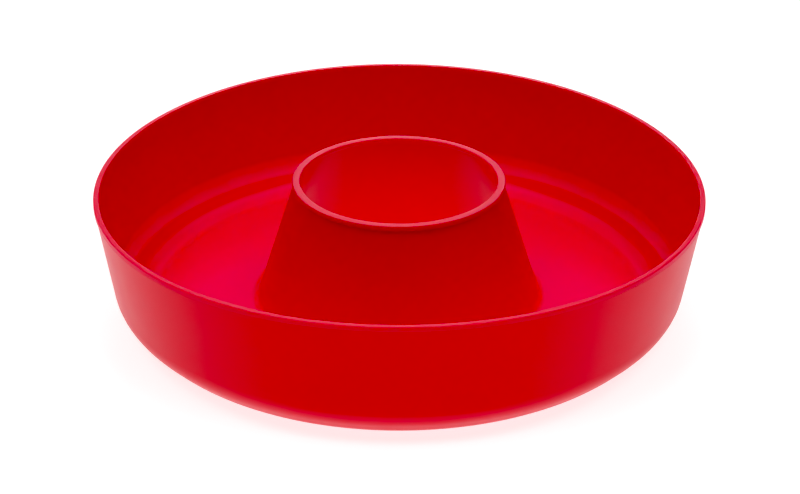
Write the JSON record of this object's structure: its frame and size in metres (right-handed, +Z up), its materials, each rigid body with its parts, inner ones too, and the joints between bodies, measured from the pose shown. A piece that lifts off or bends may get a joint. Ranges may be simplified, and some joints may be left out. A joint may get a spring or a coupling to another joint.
{
  "type": "ring pan",
  "caption": "Round open ring pan: a shallow ring-shaped trough between a leaning outer wall and a hollow, open-topped centre cone, with a thin lip round the rim.",
  "frame": {"origin": "centre of the base, on the plane the pan stands on", "axes": "+Z up along the pan's axis, from the base towards the open top; X and Y lie in the base plane"},
  "size_m": [0.25, 0.25, 0.055],
  "materials": {
    "silicone": "satin red silicone rubber"
  },
  "bodies": {
    "root": {"ring_pan": "silicone"}
  },
  "joints": []
}
